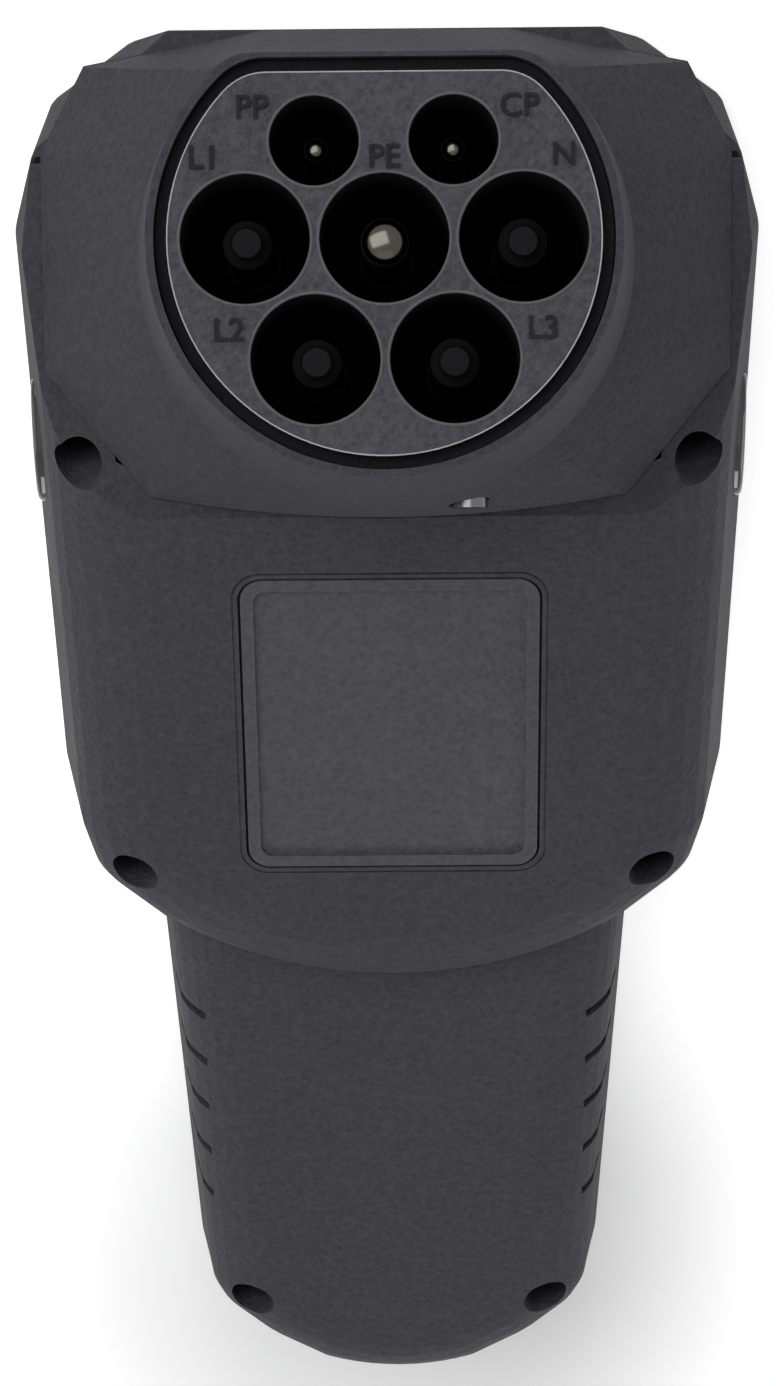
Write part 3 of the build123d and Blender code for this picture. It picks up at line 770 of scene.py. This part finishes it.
class TESTER_OT_inside(bpy.types.Operator):
    """Finish the boards, the cells and what sits on the boards"""
    bl_idname = "tester.inside"
    bl_label = "Finish Inside"

    def execute(self, context):
        board = moulded("solder mask", (0.01, 0.12, 0.05), rough=0.35, grain=500.0, bump=0.15, wear=0.2)
        for node in ("main_board", "key_board"):
            dress(node, board)
        black = moulded("component plastic", (0.02, 0.02, 0.022), rough=0.45, bump=0.2, wear=0.3)
        for node in ("relay_a", "relay_b", "relay_c", "transformer", "buzzer", "battery_tray"):
            dress(node, black)
        dress("terminal_block", moulded("terminal green", (0.03, 0.22, 0.08), rough=0.4, wear=0.3))
        sleeve = moulded("cell sleeve", (0.05, 0.12, 0.24), rough=0.25, bump=0.05, wear=0.15)
        for name in ("a", "b", "c"):
            dress("cell_" + name, sleeve)
        dress("keypad_mat", moulded("silicone mat", (0.32, 0.32, 0.33), rough=0.7, bump=0.1, wear=0.1))
        dress("display_module", moulded("display cell", (0.16, 0.19, 0.15), rough=0.2, bump=0.05, wear=0.1))
        dress("display_window", clear_glass("display window", (0.02, 0.022, 0.024), 0.06))
        return {"FINISHED"}


def area_lamp(name, place, aim, size, power):
    data = bpy.data.lights.new(name, "AREA")
    data.shape = "RECTANGLE"
    data.size, data.size_y = size
    data.energy = power
    lamp = bpy.data.objects.new(name, data)
    lamp.location = place
    lamp.rotation_euler = (Vector(aim) - Vector(place)).to_track_quat("-Z", "Y").to_euler()
    bpy.context.scene.collection.objects.link(lamp)
    return lamp


def shown_rays(nodes, links):
    """1 for the rays that show the background: camera, transmission and glossy."""
    path = nodes.new("ShaderNodeLightPath")
    seen = nodes.new("ShaderNodeMath")
    seen.operation = "MAXIMUM"
    links.new(path.outputs["Is Camera Ray"], seen.inputs[0])
    links.new(path.outputs["Is Transmission Ray"], seen.inputs[1])
    shown = nodes.new("ShaderNodeMath")
    shown.operation = "MAXIMUM"
    links.new(seen.outputs[0], shown.inputs[0])
    links.new(path.outputs["Is Glossy Ray"], shown.inputs[1])
    return shown


class TESTER_OT_stage(bpy.types.Operator):
    """Set the floor, the lamps and the camera"""
    bl_idname = "tester.stage"
    bl_label = "Set Stage"

    def execute(self, context):
        st = context.scene.tester_stage
        mesh = bpy.data.meshes.new("floor")
        half, drop = FLOOR_HALF, FLOOR_DROP
        corners = [(-half, -half, drop), (half, -half, drop), (half, half, drop), (-half, half, drop)]
        mesh.from_pydata(corners, [], [(0, 1, 2, 3)])
        floor = bpy.data.objects.new("floor", mesh)
        context.scene.collection.objects.link(floor)
        mat = bpy.data.materials.new("pale floor")
        mat.use_nodes = True
        nodes, links = mat.node_tree.nodes, mat.node_tree.links
        bsdf = nodes["Principled BSDF"]
        bsdf.inputs["Roughness"].default_value = 0.9
        noise = nodes.new("ShaderNodeTexNoise")
        noise.inputs["Scale"].default_value = 3.0
        coord = nodes.new("ShaderNodeTexCoord")
        links.new(coord.outputs["Object"], noise.inputs["Vector"])
        mix = nodes.new("ShaderNodeMix")
        mix.data_type = "RGBA"
        mix.inputs["A"].default_value = (0.90, 0.90, 0.90, 1)
        mix.inputs["B"].default_value = (0.92, 0.92, 0.92, 1)
        links.new(noise.outputs["Fac"], mix.inputs["Factor"])
        links.new(mix.outputs["Result"], bsdf.inputs["Base Color"])
        glow = nodes.new("ShaderNodeEmission")
        shown = shown_rays(nodes, links)
        # painted shadow: the floor's glow fades near the handle's end, so the floor there is darker than the
        # rest of the backdrop; the lamps' cast shadow adds to it
        reach = nodes.new("ShaderNodeVectorMath")
        reach.operation = "DISTANCE"
        reach.inputs[1].default_value = (0.0, -0.13, 0.0)
        links.new(coord.outputs["Object"], reach.inputs[0])
        painted_shadow_fade = nodes.new("ShaderNodeMapRange")
        painted_shadow_fade.interpolation_type = "SMOOTHSTEP"
        painted_shadow_fade.inputs["From Min"].default_value = 0.02
        painted_shadow_fade.inputs["From Max"].default_value = 0.095
        painted_shadow_fade.inputs["To Min"].default_value = 0.04
        painted_shadow_fade.inputs["To Max"].default_value = 0.60
        links.new(reach.outputs["Value"], painted_shadow_fade.inputs["Value"])
        level = nodes.new("ShaderNodeMath")
        level.operation = "MULTIPLY"
        links.new(painted_shadow_fade.outputs["Result"], level.inputs[1])
        links.new(shown.outputs[0], level.inputs[0])
        links.new(level.outputs[0], glow.inputs["Strength"])
        both = nodes.new("ShaderNodeAddShader")
        links.new(bsdf.outputs["BSDF"], both.inputs[0])
        links.new(glow.outputs["Emission"], both.inputs[1])
        under = nodes.new("ShaderNodeNewGeometry")
        clear = nodes.new("ShaderNodeBsdfTransparent")
        sided = nodes.new("ShaderNodeMixShader")
        links.new(under.outputs["Backfacing"], sided.inputs["Fac"])
        links.new(both.outputs["Shader"], sided.inputs[1])
        links.new(clear.outputs["BSDF"], sided.inputs[2])
        links.new(sided.outputs["Shader"], nodes["Material Output"].inputs["Surface"])
        mesh.materials.append(mat)
        for name, place, size, power in LAMPS:
            area_lamp(name, place, LAMP_AIM, size, power * st.light)
        world = bpy.data.worlds.new("studio")
        context.scene.world = world
        world.use_nodes = True
        nodes, links = world.node_tree.nodes, world.node_tree.links
        sky = nodes["Background"]
        sky.inputs["Color"].default_value = (1, 1, 1, 1)
        shown = shown_rays(nodes, links)
        level = nodes.new("ShaderNodeMapRange")
        level.inputs["To Min"].default_value = SKY_LEVEL
        level.inputs["To Max"].default_value = 1.0
        links.new(shown.outputs[0], level.inputs["Value"])
        links.new(level.outputs["Result"], sky.inputs["Strength"])
        cam = bpy.data.cameras.new("camera")
        cam.lens = st.lens
        cam.sensor_width = 36.0
        cam.clip_start = 0.01
        cam.clip_end = 20.0
        holder = bpy.data.objects.new("camera", cam)
        back = (AXIS * math.cos(st.yaw) + SIDE * math.sin(st.yaw)).normalized()
        right = (SIDE * math.cos(st.yaw) - AXIS * math.sin(st.yaw)).normalized()
        across = (right - RISE * math.tan(st.roll)).normalized()
        up = back.cross(across)
        turn = Matrix((across, up, back)).transposed().to_4x4()
        eye = FACE + back * st.distance - RISE * st.fall
        holder.matrix_world = Matrix.Translation(eye) @ turn
        context.scene.collection.objects.link(holder)
        context.scene.camera = holder
        view = context.scene.view_settings
        view.view_transform = "Standard"
        return {"FINISHED"}


class TESTER_PT_panel(bpy.types.Panel):
    """Sizes and steps of the tester"""
    bl_idname = "TESTER_PT_panel"
    bl_label = "Charging Station Tester"
    bl_space_type = "VIEW_3D"
    bl_region_type = "UI"
    bl_category = "Tester"

    def draw(self, context):
        col = self.layout.column()
        for group, _ in PROPS:
            data = getattr(context.scene, group)
            for name in data.bl_rna.properties.keys():
                if name not in ("rna_type", "name"):
                    col.prop(data, name)
        for step in STEPS:
            col.operator("tester." + step)


STEPS = ("shells", "insert", "marks", "mouths", "edge", "tips", "grip", "hardware", "inside", "stage")
PROPS = (("tester_finish", TesterFinish), ("tester_marks", TesterMarks), ("tester_mouths", TesterMouths),
         ("tester_grip", TesterGrip), ("tester_stage", TesterStage))
CLASSES = (
    TesterFinish, TesterMarks, TesterMouths, TesterGrip, TesterStage,
    TESTER_OT_shells, TESTER_OT_insert, TESTER_OT_marks, TESTER_OT_mouths, TESTER_OT_edge,
    TESTER_OT_tips, TESTER_OT_grip, TESTER_OT_hardware, TESTER_OT_inside, TESTER_OT_stage,
    TESTER_PT_panel,
)


def register():
    for cls in CLASSES:
        bpy.utils.register_class(cls)
    for name, cls in PROPS:
        setattr(bpy.types.Scene, name, bpy.props.PointerProperty(type=cls))


def unregister():
    for name, _ in PROPS:
        delattr(bpy.types.Scene, name)
    for cls in reversed(CLASSES):
        bpy.utils.unregister_class(cls)


def main():
    register()
    for step in STEPS:
        getattr(bpy.ops.tester, step)()


if __name__ == "__main__":
    main()
